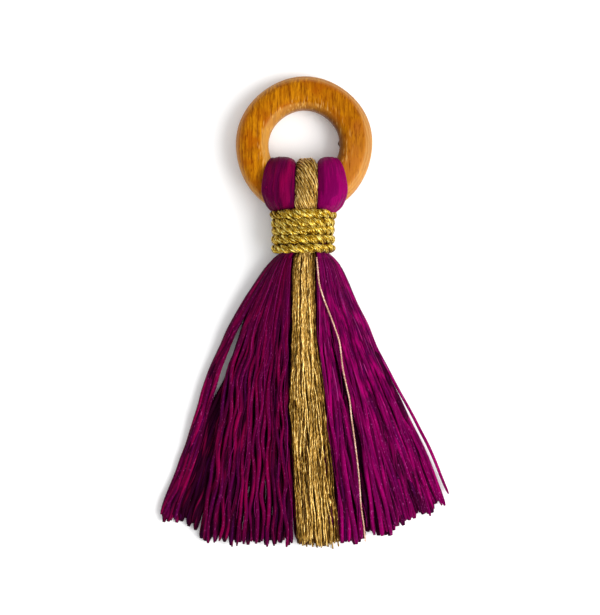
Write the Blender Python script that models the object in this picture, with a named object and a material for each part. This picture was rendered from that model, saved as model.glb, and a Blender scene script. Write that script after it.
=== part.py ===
"""Key-ring style tassel: a wooden ring, three hanks looped over it, a gold cord binding, a fringe.

The tassel lies on its back on the surface z = 0.  Its ring points to +Y and its fringe to -Y.
Lengths are in metres.  "down" is a distance below the ring's centre, towards the fringe.
"""
import bmesh
import bpy
import math
from collections import namedtuple
from mathutils import Vector

# Frame: the ring's centre, set so that the whole tassel's box is centred over the origin.
RING_X = -0.0004
RING_Y = 0.0489

# Turned wooden ring.
RING_OUTER_RADIUS = 0.0200
RING_HOLE_RADIUS = 0.0104
RING_THICKNESS = 0.0080
RING_SQUARENESS = 2.5
RING_SEGMENTS = 48
RING_SECTION_POINTS = 14
RING_LIFT = 0.0038          # yarn under the ring's lower arc raises it this far

# Hanks.
GAP = 0.0003                # between neighbouring pieces
CELLS_PER_LOCK = 2
GROOVE_SHARE = 0.019        # a groove's width as a share of its hank's width
GROOVE_MIN = 0.00025
GROOVE_DEPTH = 0.0011
LOOP_SQUARENESS = 3.0
LOOP_EDGE_SHARE = 0.62      # a loop's thickness at its sides, as a share of its middle's
LOOP_CROWN = 0.0068         # the loops' tops are rounded down to here
LOOP_CROWN_DROP = 0.0014    # a top's corners lie this much lower than its middle
LOOP_CROWN_SQUARENESS = 4
NECK_TOP_DOWN = 0.0183
NECK_FULLNESS = 0.95        # how nearly the oval neck closes to a point at its sides
FRINGE_TOP_DOWN = 0.0325
FAN_LENGTH = 0.022          # the oval neck opens into the flat fan over this length
FAN_EDGE_SHARE = 0.42       # thickness left at the fan's outer edges
FAN_FALL = 2.2              # how late the fan thins out towards its edges

# Gold cord wound round the neck.
CORD_DIAMETER = 0.0027
CORD_TURNS = 5
BINDING_TOP = 0.0188
BINDING_HALF_WIDTH = 0.0094
BINDING_HALF_HEIGHT = 0.0083
BINDING_MID_HEIGHT = 0.0079
BINDING_SEGMENTS = 32
POINTS_PER_TURN = 4

# One loose gold thread on the right of the fringe.
THREAD_DIAMETER = 0.0005
THREAD_POINTS = 58

# Cross-sections of the three hanks, from the top of the loops to the hem.
# left, gold_left, gold_right and right are the edges across, measured from the ring's axis.
# low and high are the underside and the crown.
Section = namedtuple("Section", "down left gold_left gold_right right low high")
SECTIONS = (
    Section(0.0034, -0.0102, -0.0026, 0.0041, 0.0104, 0.0062, 0.0096),
    Section(0.0042, -0.0114, -0.0026, 0.0041, 0.0116, 0.0038, 0.0122),
    Section(0.0062, -0.0121, -0.0025, 0.0041, 0.0123, 0.0014, 0.0145),
    Section(0.0092, -0.0124, -0.0024, 0.0040, 0.0126, 0.0000, 0.0156),
    Section(0.0134, -0.0123, -0.0023, 0.0039, 0.0125, 0.0000, 0.0158),
    Section(0.0165, -0.0118, -0.0023, 0.0038, 0.0120, 0.0000, 0.0155),
    Section(0.0180, -0.0103, -0.0023, 0.0037, 0.0102, 0.0008, 0.0150),
    Section(0.0185, -0.0063, -0.0023, 0.0035, 0.0063, 0.0028, 0.0130),
    Section(0.0255, -0.0063, -0.0023, 0.0034, 0.0063, 0.0028, 0.0130),
    Section(0.0325, -0.0063, -0.0025, 0.0033, 0.0063, 0.0028, 0.0130),
    Section(0.0331, -0.0096, -0.0031, 0.0034, 0.0096, 0.0021, 0.0134),
    Section(0.0355, -0.0118, -0.0035, 0.0033, 0.0112, 0.0012, 0.0128),
    Section(0.0388, -0.0138, -0.0035, 0.0033, 0.0129, 0.0004, 0.0120),
    Section(0.0459, -0.0185, -0.0035, 0.0034, 0.0159, 0.0000, 0.0108),
    Section(0.0529, -0.0223, -0.0036, 0.0036, 0.0194, 0.0000, 0.0098),
    Section(0.0600, -0.0256, -0.0038, 0.0042, 0.0223, 0.0000, 0.0090),
    Section(0.0670, -0.0286, -0.0040, 0.0050, 0.0260, 0.0000, 0.0083),
    Section(0.0741, -0.0309, -0.0041, 0.0058, 0.0297, 0.0000, 0.0077),
    Section(0.0811, -0.0333, -0.0040, 0.0066, 0.0333, 0.0000, 0.0071),
    Section(0.0882, -0.0355, -0.0036, 0.0074, 0.0370, 0.0000, 0.0066),
    Section(0.0953, -0.0378, -0.0031, 0.0083, 0.0404, 0.0000, 0.0061),
    Section(0.1023, -0.0404, -0.0026, 0.0091, 0.0438, 0.0000, 0.0057),
    Section(0.1093, -0.0427, -0.0022, 0.0098, 0.0462, 0.0000, 0.0052),
    Section(0.1180, -0.0452, -0.0019, 0.0105, 0.0492, 0.0000, 0.0047),
)

# Locks of the fringe, left to right: each one's share of its hank's width and how far down its
# tip is.  slit is where it parts from the lock on its right, and an eye is a gap that closes again.
Lock = namedtuple("Lock", "share tip slit eye_from eye_to")
LEFT_LOCKS = (
    Lock(0.12, 0.1103, 0.1040, 0.066, 0.084),
    Lock(0.15, 0.1105, 0.1050, None, None),
    Lock(0.14, 0.1138, 0.1075, None, None),
    Lock(0.14, 0.1156, 0.1100, None, None),
    Lock(0.14, 0.1162, 0.1120, None, None),
    Lock(0.14, 0.1168, 0.1105, None, None),
    Lock(0.17, 0.1174, 0.1174, None, None),
)
GOLD_LOCKS = (
    Lock(0.34, 0.1176, 0.1130, None, None),
    Lock(0.32, 0.1168, 0.1120, None, None),
    Lock(0.34, 0.1175, 0.1175, None, None),
)
RIGHT_LOCKS = (
    Lock(0.12, 0.1167, 0.1110, None, None),
    Lock(0.11, 0.1146, 0.1090, None, None),
    Lock(0.17, 0.1142, 0.1060, None, None),
    Lock(0.17, 0.1105, 0.1010, None, None),
    Lock(0.09, 0.1085, 0.0970, None, None),
    Lock(0.13, 0.1090, 0.0930, None, None),
    Lock(0.12, 0.1062, 0.0890, None, None),
    Lock(0.09, 0.1021, 0.1021, None, None),
)

# The loose thread's route from under the binding to its cut end: x, y, z.
THREAD_ROUTE = (
    (0.0032, 0.0160, 0.01345),
    (0.0036, 0.0120, 0.01295),
    (0.0040, 0.0084, 0.01205),
    (0.0050, 0.0049, 0.01140),
    (0.0063, 0.0014, 0.01055),
    (0.0079, -0.0027, 0.01000),
    (0.0093, -0.0066, 0.00930),
    (0.0101, -0.0098, 0.00875),
    (0.0109, -0.0163, 0.00860),
    (0.0120, -0.0216, 0.00815),
    (0.0129, -0.0257, 0.00775),
    (0.0135, -0.0310, 0.00715),
    (0.0147, -0.0395, 0.00625),
    (0.0157, -0.0480, 0.00550),
    (0.0163, -0.0566, 0.00540),
    (0.0172, -0.0630, 0.00505),
    (0.0176, -0.0674, 0.00470),
)


def make_material(name, colour, roughness, metallic):
    """A plain finish with one colour."""
    material = bpy.data.materials.new(name)
    material.use_nodes = True
    shader = material.node_tree.nodes["Principled BSDF"]
    shader.inputs["Base Color"].default_value = (*colour, 1.0)
    shader.inputs["Roughness"].default_value = roughness
    shader.inputs["Metallic"].default_value = metallic
    material.diffuse_color = (*colour, 1.0)
    return material


def add_mesh(name, points, faces, material):
    """A new object from points and faces, with its faces pointing outwards."""
    mesh = bpy.data.meshes.new(name)
    mesh.from_pydata(points, [], faces)
    shape = bmesh.new()
    shape.from_mesh(mesh)
    bmesh.ops.recalc_face_normals(shape, faces=shape.faces)
    shape.to_mesh(mesh)
    shape.free()
    if material:
        mesh.materials.append(material)
    thing = bpy.data.objects.new(name, mesh)
    bpy.context.collection.objects.link(thing)
    return thing


def smooth(thing, angle=math.radians(50)):
    """Rounds the shading over every edge that bends less than angle."""
    thing.data.shade_smooth()
    thing.data.set_sharp_from_angle(angle=angle)


def squared_circle(turn, squareness):
    """A point on a circle of radius 1 whose shoulders are squared off."""
    across, up = math.cos(turn), math.sin(turn)
    return (
        math.copysign(abs(across) ** (2 / squareness), across),
        math.copysign(abs(up) ** (2 / squareness), up),
    )


def turned_ring(name, growth, material):
    """The ring's solid, turned from one section and tilted as it lies.  growth widens it all round."""
    middle = (RING_OUTER_RADIUS + RING_HOLE_RADIUS) / 2
    half_width = (RING_OUTER_RADIUS - RING_HOLE_RADIUS) / 2 + growth
    half_thickness = RING_THICKNESS / 2 + growth
    points = []
    faces = []
    for i in range(RING_SEGMENTS):
        around = math.tau * i / RING_SEGMENTS
        for k in range(RING_SECTION_POINTS):
            turn = math.tau * (k + 0.5) / RING_SECTION_POINTS
            across, up = squared_circle(turn, RING_SQUARENESS)
            radius = middle + half_width * across
            points.append((radius * math.cos(around), radius * math.sin(around), half_thickness * up))
            following = (i + 1) % RING_SEGMENTS
            step = (k + 1) % RING_SECTION_POINTS
            faces.append((
                i * RING_SECTION_POINTS + k,
                following * RING_SECTION_POINTS + k,
                following * RING_SECTION_POINTS + step,
                i * RING_SECTION_POINTS + step,
            ))
    ring = add_mesh(name, points, faces, material)
    tilt = math.asin(RING_LIFT / (2 * middle))
    ring.rotation_euler = (-tilt, 0.0, 0.0)
    ring.location = (RING_X, RING_Y, RING_THICKNESS / 2 + RING_LIFT / 2)
    smooth(ring)
    return ring


def blend(start, end, share):
    """The value a share of the way from start to end."""
    return start + (end - start) * share


def at(down, column):
    """The value of one column of SECTIONS at a distance down, on a straight line between rows."""
    if down <= SECTIONS[0].down:
        return getattr(SECTIONS[0], column)
    for upper, lower in zip(SECTIONS, SECTIONS[1:]):
        if down <= lower.down:
            share = (down - upper.down) / (lower.down - upper.down)
            return blend(getattr(upper, column), getattr(lower, column), share)
    return getattr(SECTIONS[-1], column)


def fanned(down):
    """How far the round neck has opened into the flat fan: 0 at the binding, 1 once it lies flat."""
    return min(max((down - FRINGE_TOP_DOWN) / FAN_LENGTH, 0.0), 1.0)


def heights(x, down, left, right):
    """The underside and the crown at x: pillows in the loops, an oval neck, then a flat fan."""
    low = at(down, "low")
    high = at(down, "high")
    middle = (low + high) / 2
    half = (high - low) / 2
    if down < NECK_TOP_DOWN:
        side = min(abs(2 * (x - left) / (right - left) - 1), 1.0)
        share = blend(LOOP_EDGE_SHARE, 1.0, (1 - side**LOOP_SQUARENESS) ** (1 / LOOP_SQUARENESS))
        return max(middle - half * share, low), middle + half * share
    half_width = at(down, "right") if x > 0 else -at(down, "left")
    side = min(abs(x) / half_width, 1.0)
    oval = half * math.sqrt(1 - NECK_FULLNESS * side**2)
    flat = 2 * half * (1 - (1 - FAN_EDGE_SHARE) * side**FAN_FALL)
    spread = fanned(down)
    return blend(middle - oval, low, spread), blend(middle + oval, low + flat, spread)


def column_edges(left, right, locks):
    """Where the columns of a row stand: CELLS_PER_LOCK cells for each lock, one for each groove."""
    groove = max(GROOVE_MIN, GROOVE_SHARE * (right - left))
    yarn = right - left - groove * (len(locks) - 1)
    edges = [left]
    for number, lock in enumerate(locks):
        if number:
            edges.append(edges[-1] + groove)
        for _ in range(CELLS_PER_LOCK):
            edges.append(edges[-1] + lock.share * yarn / CELLS_PER_LOCK)
    return edges


def make_hank(name, left_column, right_column, left_gap, right_gap, locks, material):
    """One hank from its loop to its hem, a closed comb whose grooves open into slits at the hem."""
    stride = CELLS_PER_LOCK + 1
    columns = len(locks) * stride
    rows = len(SECTIONS)
    hem = SECTIONS[-1].down

    def column_down(row, column):
        """How far down a point lies: below the binding each lock is stretched to its own tip."""
        down = SECTIONS[row].down
        if down <= FRINGE_TOP_DOWN:
            return down
        share = (down - FRINGE_TOP_DOWN) / (hem - FRINGE_TOP_DOWN)
        return blend(FRINGE_TOP_DOWN, locks[column // stride].tip, share)

    def is_open(row, column):
        """Whether the groove in this column is a gap from this row to the next."""
        lock = locks[column // stride]
        middle = (column_down(row, column) + column_down(row + 1, column)) / 2
        in_eye = lock.eye_from is not None and lock.eye_from < middle < lock.eye_to
        return in_eye or middle > lock.slit

    points = []
    for row in range(rows):
        for column in range(columns):
            down = column_down(row, column)
            left = at(down, left_column) + left_gap
            right = at(down, right_column) - right_gap
            x = column_edges(left, right, locks)[column]
            underside, top = heights(x, down, left, right)
            if column % stride in (0, CELLS_PER_LOCK):
                top -= GROOVE_DEPTH * fanned(down)
            corner = (2 * (x - left) / (right - left) - 1) ** LOOP_CROWN_SQUARENESS
            y = RING_Y - down - LOOP_CROWN_DROP * corner * max(1 - down / LOOP_CROWN, 0.0)
            points.append((RING_X + x, y, top))
            points.append((RING_X + x, y, underside))

    def top_of(row, column):
        return 2 * (row * columns + column)

    filled = {
        (row, column)
        for row in range(rows - 1)
        for column in range(columns - 1)
        if column % stride != CELLS_PER_LOCK or not is_open(row, column)
    }
    faces = []
    for row, column in sorted(filled):
        corners = [
            top_of(row, column),
            top_of(row, column + 1),
            top_of(row + 1, column + 1),
            top_of(row + 1, column),
        ]
        faces.append(tuple(corners))
        faces.append(tuple(corner + 1 for corner in reversed(corners)))
        neighbours = ((row - 1, column), (row, column + 1), (row + 1, column), (row, column - 1))
        for side, neighbour in enumerate(neighbours):
            if neighbour not in filled:
                start, end = corners[side], corners[(side + 1) % 4]
                faces.append((end, start, start + 1, end + 1))
    hank = add_mesh(name, points, faces, material)
    remove_loose_points(hank)
    return hank


def remove_loose_points(thing):
    """Deletes the points inside slits, which no face uses."""
    shape = bmesh.new()
    shape.from_mesh(thing.data)
    unused = [point for point in shape.verts if not point.link_faces]
    bmesh.ops.delete(shape, geom=unused, context="VERTS")
    shape.to_mesh(thing.data)
    shape.free()


def cut_channel(hank, channel):
    """Opens the way through which the ring passes."""
    cut = hank.modifiers.new("channel", "BOOLEAN")
    cut.operation = "DIFFERENCE"
    cut.solver = "EXACT"
    cut.object = channel


def make_binding(material):
    """The wound gold cord: an oval sleeve with one rounded ridge for each turn, flat underneath."""
    pitch = CORD_DIAMETER
    profile = []
    for turn in range(CORD_TURNS):
        for k in range(POINTS_PER_TURN):
            angle = math.pi * (k + 0.5) / POINTS_PER_TURN
            down = BINDING_TOP + pitch * (turn + 0.5 - 0.5 * math.cos(angle))
            profile.append((down, CORD_DIAMETER / 2 * (1 - math.sin(angle))))
    inner_inset = CORD_DIAMETER
    profile.append((profile[-1][0], inner_inset))
    profile.append((profile[0][0], inner_inset))
    points = []
    faces = []
    count = len(profile)
    for i in range(BINDING_SEGMENTS):
        around = math.tau * i / BINDING_SEGMENTS
        following = (i + 1) % BINDING_SEGMENTS
        for k, (down, inset) in enumerate(profile):
            x = RING_X + (BINDING_HALF_WIDTH - inset) * math.cos(around)
            z = BINDING_MID_HEIGHT + (BINDING_HALF_HEIGHT - inset) * math.sin(around)
            points.append((x, RING_Y - down, max(z, 0.0)))
            step = (k + 1) % count
            faces.append((i * count + k, i * count + step, following * count + step, following * count + k))
    binding = add_mesh("binding_cord", points, faces, material)
    smooth(binding)
    return binding


def curve_through(route, share):
    """A point on the smooth curve through the route's points, with share from 0 to 1."""
    spans = len(route) - 1
    place = min(share * spans, spans - 1e-9)
    number = int(place)
    t = place - number
    before = Vector(route[max(number - 1, 0)])
    start = Vector(route[number])
    end = Vector(route[number + 1])
    after = Vector(route[min(number + 2, spans)])
    leaving = (end - before) / 2
    arriving = (after - start) / 2
    return (
        start * (2 * t**3 - 3 * t**2 + 1)
        + leaving * (t**3 - 2 * t**2 + t)
        + end * (3 * t**2 - 2 * t**3)
        + arriving * (t**3 - t**2)
    )


def make_thread(material):
    """The loose gold thread, a fine tube over the right of the fringe."""
    curve = bpy.data.curves.new("stray_thread", "CURVE")
    curve.dimensions = "3D"
    curve.bevel_depth = THREAD_DIAMETER / 2
    curve.bevel_resolution = 2
    curve.use_fill_caps = True
    line = curve.splines.new("POLY")
    line.points.add(THREAD_POINTS - 1)
    for number, point in enumerate(line.points):
        point.co = (*curve_through(THREAD_ROUTE, number / (THREAD_POINTS - 1)), 1.0)
    curve.materials.append(material)
    thread = bpy.data.objects.new("stray_thread", curve)
    bpy.context.collection.objects.link(thread)
    return thread


for old in list(bpy.data.objects):
    bpy.data.objects.remove(old, do_unlink=True)

wood = make_material("varnished_wood", (0.50, 0.20, 0.03), 0.38, 0.0)
purple = make_material("purple_floss", (0.13, 0.003, 0.06), 0.55, 0.0)
gold_thread = make_material("gold_thread", (0.42, 0.22, 0.06), 0.42, 0.6)
gold_cord = make_material("gold_cord", (0.50, 0.32, 0.07), 0.38, 0.6)

turned_ring("ring", 0.0, wood)
channel = turned_ring("ring_channel", GAP, None)
channel.hide_render = True
channel.display_type = "WIRE"

hanks = (
    make_hank("hank_purple_left", "left", "gold_left", 0.0, GAP / 2, LEFT_LOCKS, purple),
    make_hank("hank_gold", "gold_left", "gold_right", GAP / 2, GAP / 2, GOLD_LOCKS, gold_thread),
    make_hank("hank_purple_right", "gold_right", "right", GAP / 2, 0.0, RIGHT_LOCKS, purple),
)
for hank in hanks:
    cut_channel(hank, channel)
    smooth(hank)

make_binding(gold_cord)
make_thread(gold_thread)
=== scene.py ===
import math
from collections import namedtuple

import bpy
import numpy as np
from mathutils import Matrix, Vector


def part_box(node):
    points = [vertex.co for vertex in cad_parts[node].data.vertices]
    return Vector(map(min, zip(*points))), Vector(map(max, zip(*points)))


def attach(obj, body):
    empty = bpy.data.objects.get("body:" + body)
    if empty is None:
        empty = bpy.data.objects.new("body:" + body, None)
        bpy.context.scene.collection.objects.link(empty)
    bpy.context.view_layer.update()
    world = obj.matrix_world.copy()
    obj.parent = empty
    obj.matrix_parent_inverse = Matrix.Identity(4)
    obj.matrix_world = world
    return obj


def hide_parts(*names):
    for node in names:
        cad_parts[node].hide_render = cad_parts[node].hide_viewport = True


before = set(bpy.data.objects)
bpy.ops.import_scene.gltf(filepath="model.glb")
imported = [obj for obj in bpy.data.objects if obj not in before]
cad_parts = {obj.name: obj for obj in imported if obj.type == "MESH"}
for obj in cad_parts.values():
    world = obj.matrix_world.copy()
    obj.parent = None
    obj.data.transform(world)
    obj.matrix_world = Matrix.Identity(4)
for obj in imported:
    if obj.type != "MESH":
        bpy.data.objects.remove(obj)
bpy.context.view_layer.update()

# ---------------------------------------------------------------------------------------------
# The setting.  The tassel lies on its back on a white table under a soft lamp on its right, and
# is seen from straight above.  Every place is measured from the wooden ring's centre: x to the
# right, "down" towards the hem.
# ---------------------------------------------------------------------------------------------
MM = 0.001
ring_low, ring_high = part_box("ring")
RING_X = (ring_low.x + ring_high.x) / 2
RING_Y = (ring_low.y + ring_high.y) / 2
RING_Z = (ring_low.z + ring_high.z) / 2

CAMERA_HEIGHT = 0.62
VIEW_WIDTH = 180.8 * MM         # the long side of the view, at the height of the fringe
VIEW_LEFT_OF_RING = 1.2 * MM
VIEW_BELOW_RING = 47.5 * MM
FRINGE_HEIGHT = 5 * MM

scene = bpy.context.scene
scene.view_settings.view_transform = "Standard"

camera_data = bpy.data.cameras.new("camera")
camera_data.lens = camera_data.sensor_width * (CAMERA_HEIGHT - FRINGE_HEIGHT) / VIEW_WIDTH
camera = bpy.data.objects.new("camera", camera_data)
camera.location = (RING_X - VIEW_LEFT_OF_RING, RING_Y - VIEW_BELOW_RING, CAMERA_HEIGHT)
scene.collection.objects.link(camera)
scene.camera = camera

LIGHTS = (
    # name, place, width, power
    ("key_light", (0.42, -0.10, 0.44), 0.46, 4.5),
    ("top_light", (0.10, 0.05, 0.75), 0.60, 0.8),
)
for light_name, place, width, power in LIGHTS:
    lamp = bpy.data.lights.new(light_name, "AREA")
    lamp.size = width
    lamp.energy = power
    lamp_object = bpy.data.objects.new(light_name, lamp)
    lamp_object.location = place
    toward = -lamp_object.location.normalized()
    lamp_object.rotation_euler = toward.to_track_quat("-Z", "Y").to_euler()
    scene.collection.objects.link(lamp_object)

world = bpy.data.worlds.new("studio")
world.use_nodes = True
world.node_tree.nodes["Background"].inputs["Color"].default_value = (1.0, 1.0, 1.0, 1.0)
world.node_tree.nodes["Background"].inputs["Strength"].default_value = 0.72
scene.world = world


class Wire:
    """One output of a finish's nodes.  Sums on wires add the Math nodes that work them out."""

    def __init__(self, finish, socket):
        self.finish = finish
        self.socket = socket

    def maths(self, operation, *values):
        return self.finish.node("ShaderNodeMath", {"operation": operation}, dict(enumerate(values)))

    def __add__(self, other):
        return self.maths("ADD", self, other)

    def __radd__(self, other):
        return self.maths("ADD", other, self)

    def __sub__(self, other):
        return self.maths("SUBTRACT", self, other)

    def __rsub__(self, other):
        return self.maths("SUBTRACT", other, self)

    def __mul__(self, other):
        return self.maths("MULTIPLY", self, other)

    def __rmul__(self, other):
        return self.maths("MULTIPLY", other, self)

    def __truediv__(self, other):
        return self.maths("DIVIDE", self, other)

    def sine(self):
        return self.maths("SINE", self)

    def root(self):
        return self.maths("SQRT", self)

    def clamped(self):
        return self.finish.node("ShaderNodeClamp", {}, {"Value": self})


class Finish:
    """A procedural material, built one node at a time around its Principled shader."""

    def __init__(self, name):
        self.material = bpy.data.materials.new(name)
        self.material.use_nodes = True
        self.tree = self.material.node_tree
        self.shader = self.tree.nodes["Principled BSDF"]

    def node(self, kind, settings, sockets, output=0):
        """Adds a node, sets its settings, then its sockets to values or wires.  Returns one output."""
        made = self.tree.nodes.new(kind)
        for name, value in settings.items():
            if name == "stops":
                for stop, (place, colour) in zip(made.color_ramp.elements, value):
                    stop.position, stop.color = place, colour
                for place, colour in value[len(made.color_ramp.elements):]:
                    made.color_ramp.elements.new(place).color = colour
            else:
                setattr(made, name, value)
        self.join(made, sockets)
        return Wire(self, made.outputs[output])

    def join(self, made, sockets):
        for name, value in sockets.items():
            if isinstance(value, Wire):
                self.tree.links.new(value.socket, made.inputs[name])
            else:
                made.inputs[name].default_value = value

    def surface(self, **sockets):
        """Sets the shader's own sockets, with _ for each space in a name."""
        self.join(self.shader, {name.replace("_", " "): value for name, value in sockets.items()})

    def mixed(self, share, start, end):
        """A colour between two others."""
        return self.node(
            "ShaderNodeMix", {"data_type": "RGBA"}, {"Factor": share, 6: start, 7: end}, output=2
        )

    def noise(self, vector, scale, detail=2.0, roughness=0.5):
        return self.node(
            "ShaderNodeTexNoise",
            {},
            {"Vector": vector, "Scale": scale, "Detail": detail, "Roughness": roughness},
        )

    def bump(self, height, depth, strength=1.0):
        """A normal from a height between 0 and 1 that stands for depth in metres."""
        return self.node(
            "ShaderNodeBump", {}, {"Height": height, "Distance": depth, "Strength": strength}
        )


def paint(red, green, blue):
    """A shader colour from the red, green and blue of a paint chart, 0 to 255."""
    shares = (red / 255, green / 255, blue / 255)
    return tuple(s / 12.92 if s <= 0.04045 else ((s + 0.055) / 1.055) ** 2.4 for s in shares) + (1.0,)


def start_by_hand():
    """Leaves edit mode and clears the selection, so that the next operator has only its own piece."""
    if bpy.context.mode != "OBJECT":
        bpy.ops.object.mode_set(mode="OBJECT")
    bpy.ops.object.select_all(action="DESELECT")


start_by_hand()
bpy.ops.mesh.primitive_plane_add(size=6.0)
table = bpy.context.active_object
table.name = "table"
table_finish = Finish("white_table")
table_grain = table_finish.noise(
    table_finish.node("ShaderNodeTexCoord", {}, {}, output="Object"), 40.0, detail=4.0
)
table_finish.surface(
    Base_Color=table_finish.mixed(table_grain, paint(250, 250, 250), paint(246, 246, 246)),
    Roughness=0.9,
)
table.data.materials.append(table_finish.material)


# ---------------------------------------------------------------------------------------------
# The loose gold thread.  Two fine metallic plies twisted together, one end held under the
# binding, the other cut at the hem.  It lies over the right side of the fringe.
# ---------------------------------------------------------------------------------------------
THREAD_WIDTH = 0.5 * MM
THREAD_PITCH = 1.5 * MM
THREAD_STEPS = 320
TABLE_GAP = 0.02 * MM
THREAD_ROUTE = np.array((
    (0.0032, 0.0160, 0.01345),
    (0.0036, 0.0120, 0.01295),
    (0.0040, 0.0084, 0.01205),
    (0.0050, 0.0049, 0.01140),
    (0.0063, 0.0014, 0.01055),
    (0.0079, -0.0027, 0.01000),
    (0.0093, -0.0066, 0.00930),
    (0.0101, -0.0098, 0.00875),
    (0.0109, -0.0163, 0.00860),
    (0.0120, -0.0216, 0.00815),
    (0.0129, -0.0257, 0.00775),
    (0.0135, -0.0310, 0.00715),
    (0.0147, -0.0395, 0.00625),
    (0.0157, -0.0480, 0.00550),
    (0.0163, -0.0566, 0.00540),
    (0.0172, -0.0630, 0.00505),
    (0.0176, -0.0674, 0.00470),
))


def through(keys, steps):
    """Smooth lines through key points.  keys is (lines, points, 3), steps the pieces in each span."""
    before = np.concatenate([keys[:, :1], keys[:, :-1]], axis=1)
    after = np.concatenate([keys[:, 1:], keys[:, -1:]], axis=1)
    slopes = (after - before) / 2
    pieces = []
    for span, count in enumerate(steps):
        t = (np.arange(count) / count)[None, :, None]
        start, end = keys[:, span, None], keys[:, span + 1, None]
        leaving, arriving = slopes[:, span, None], slopes[:, span + 1, None]
        pieces.append(
            start * (2 * t**3 - 3 * t**2 + 1)
            + leaving * (t**3 - 2 * t**2 + t)
            + end * (3 * t**2 - 2 * t**3)
            + arriving * (t**3 - t**2)
        )
    return np.concatenate([*pieces, keys[:, -1:]], axis=1)


def evenly(lines, count):
    """The same lines with count points at equal steps along each."""
    made = np.empty((len(lines), count, 3))
    for number, line in enumerate(lines):
        gone = np.concatenate([[0], np.linalg.norm(np.diff(line, axis=0), axis=1).cumsum()])
        wanted = np.linspace(0, gone[-1], count)
        for axis in range(3):
            made[number, :, axis] = np.interp(wanted, gone, line[:, axis])
    return made


def unit(vectors):
    return vectors / np.maximum(np.linalg.norm(vectors, axis=-1, keepdims=True), 1e-12)


def axes_along(lines, up):
    """Each line's direction, and its side and upper axes carried along it without a twist."""
    ahead = unit(np.gradient(lines, axis=1))
    upper = np.empty_like(lines)
    now = np.broadcast_to(np.array(up, float), lines[:, 0].shape)
    for step in range(lines.shape[1]):
        now = unit(now - (now * ahead[:, step]).sum(-1, keepdims=True) * ahead[:, step])
        upper[:, step] = now
    return ahead, np.cross(ahead, upper), upper


def travelled(lines):
    """How far along its line each point is."""
    gone = np.linalg.norm(np.diff(lines, axis=1), axis=2).cumsum(axis=1)
    return np.concatenate([np.zeros((len(lines), 1)), gone], axis=1)


def tubes(name, lines, half_width, half_height, sides, roll=0.0, tones=None, atlas_rows=1, seed=0):
    """One joined mesh of closed, cut-off tubes, pressed flat where they meet the table.  lines is
    (lines, points, 3).  The half sizes and the roll may change along each line.  A strand map holds
    turns round the tube and metres along it, and strand_tone holds tones, or else a number of its
    own for each tube."""
    count, length = lines.shape[:2]
    half_width = np.broadcast_to(half_width, (count, length))[..., None, None]
    half_height = np.broadcast_to(half_height, (count, length))[..., None, None]
    turn = (np.arange(sides) / sides * math.tau)[None, None, :, None]
    _, side, upper = axes_along(lines, (0, 0, 1))
    roll = np.broadcast_to(roll, (count, length))[..., None]
    side_now = side * np.cos(roll) + upper * np.sin(roll)
    upper_now = upper * np.cos(roll) - side * np.sin(roll)
    skin = (
        lines[:, :, None]
        + side_now[:, :, None] * np.cos(turn) * half_width
        + upper_now[:, :, None] * np.sin(turn) * half_height
    )
    skin[..., 2] = np.maximum(skin[..., 2], TABLE_GAP)
    points = np.concatenate([skin.reshape(-1, 3), lines[:, 0], lines[:, -1]])
    strand, step, corner = np.meshgrid(
        np.arange(count), np.arange(length - 1), np.arange(sides), indexing="ij"
    )

    def number(strand, step, corner):
        return (strand * length + step) * sides + corner % sides

    walls = np.stack([
        number(strand, step, corner),
        number(strand, step, corner + 1),
        number(strand, step + 1, corner + 1),
        number(strand, step + 1, corner),
    ], axis=-1).reshape(-1, 4)
    strand_end, corner_end = np.meshgrid(np.arange(count), np.arange(sides), indexing="ij")
    first_middle = count * length * sides
    start_caps = np.stack([
        number(strand_end, 0, corner_end + 1),
        number(strand_end, 0, corner_end),
        first_middle + strand_end,
    ], axis=-1).reshape(-1, 3)
    end_caps = np.stack([
        number(strand_end, length - 1, corner_end),
        number(strand_end, length - 1, corner_end + 1),
        first_middle + count + strand_end,
    ], axis=-1).reshape(-1, 3)
    mesh = bpy.data.meshes.new(name)
    mesh.from_pydata(points.tolist(), [], walls.tolist() + start_caps.tolist() + end_caps.tolist())
    piece = bpy.data.objects.new(name, mesh)
    scene.collection.objects.link(piece)

    gone = travelled(lines)
    wall_u = np.stack([corner, corner + 1, corner + 1, corner], axis=-1) / sides
    wall_v = np.stack([
        gone[strand, step], gone[strand, step], gone[strand, step + 1], gone[strand, step + 1]
    ], axis=-1)
    cap_u = np.stack([corner_end + 1, corner_end, corner_end + 0.5], axis=-1) / sides
    start_v = np.zeros(cap_u.shape)
    end_v = np.broadcast_to(gone[:, -1][:, None, None], cap_u.shape)
    around = np.concatenate([wall_u.ravel(), cap_u.ravel(), cap_u.ravel()])
    along = np.concatenate([wall_v.ravel(), start_v.ravel(), end_v.ravel()])
    strand_map = mesh.uv_layers.new(name="strand")
    strand_map.data.foreach_set("uv", np.stack([around, along], axis=-1).ravel())

    columns = math.ceil(count / atlas_rows)
    owner = np.concatenate([
        np.repeat(strand.ravel(), 4), np.repeat(strand_end.ravel(), 3), np.repeat(strand_end.ravel(), 3)
    ])
    share = along / gone[owner, -1]
    atlas = mesh.uv_layers.new(name="OFBake")
    atlas_u = (owner % columns + 0.04 + 0.92 * around) / columns
    atlas_v = (owner // columns + 0.005 + 0.99 * share) / atlas_rows
    atlas.data.foreach_set("uv", np.stack([atlas_u, atlas_v], axis=-1).ravel())
    mesh.uv_layers.active = strand_map
    strand_map.active_render = True

    if tones is None:
        tones = np.random.default_rng(seed).random((count, 1))
    tones = np.broadcast_to(tones, (count, length))
    tone = mesh.attributes.new("strand_tone", "FLOAT", "POINT")
    tone.data.foreach_set(
        "value", np.concatenate([np.repeat(tones.ravel(), sides), tones[:, 0], tones[:, -1]])
    )
    # side, upper and ahead are a left-handed set, so the faces above point inwards until this turn.
    mesh.flip_normals()
    mesh.shade_smooth()
    return piece


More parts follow.
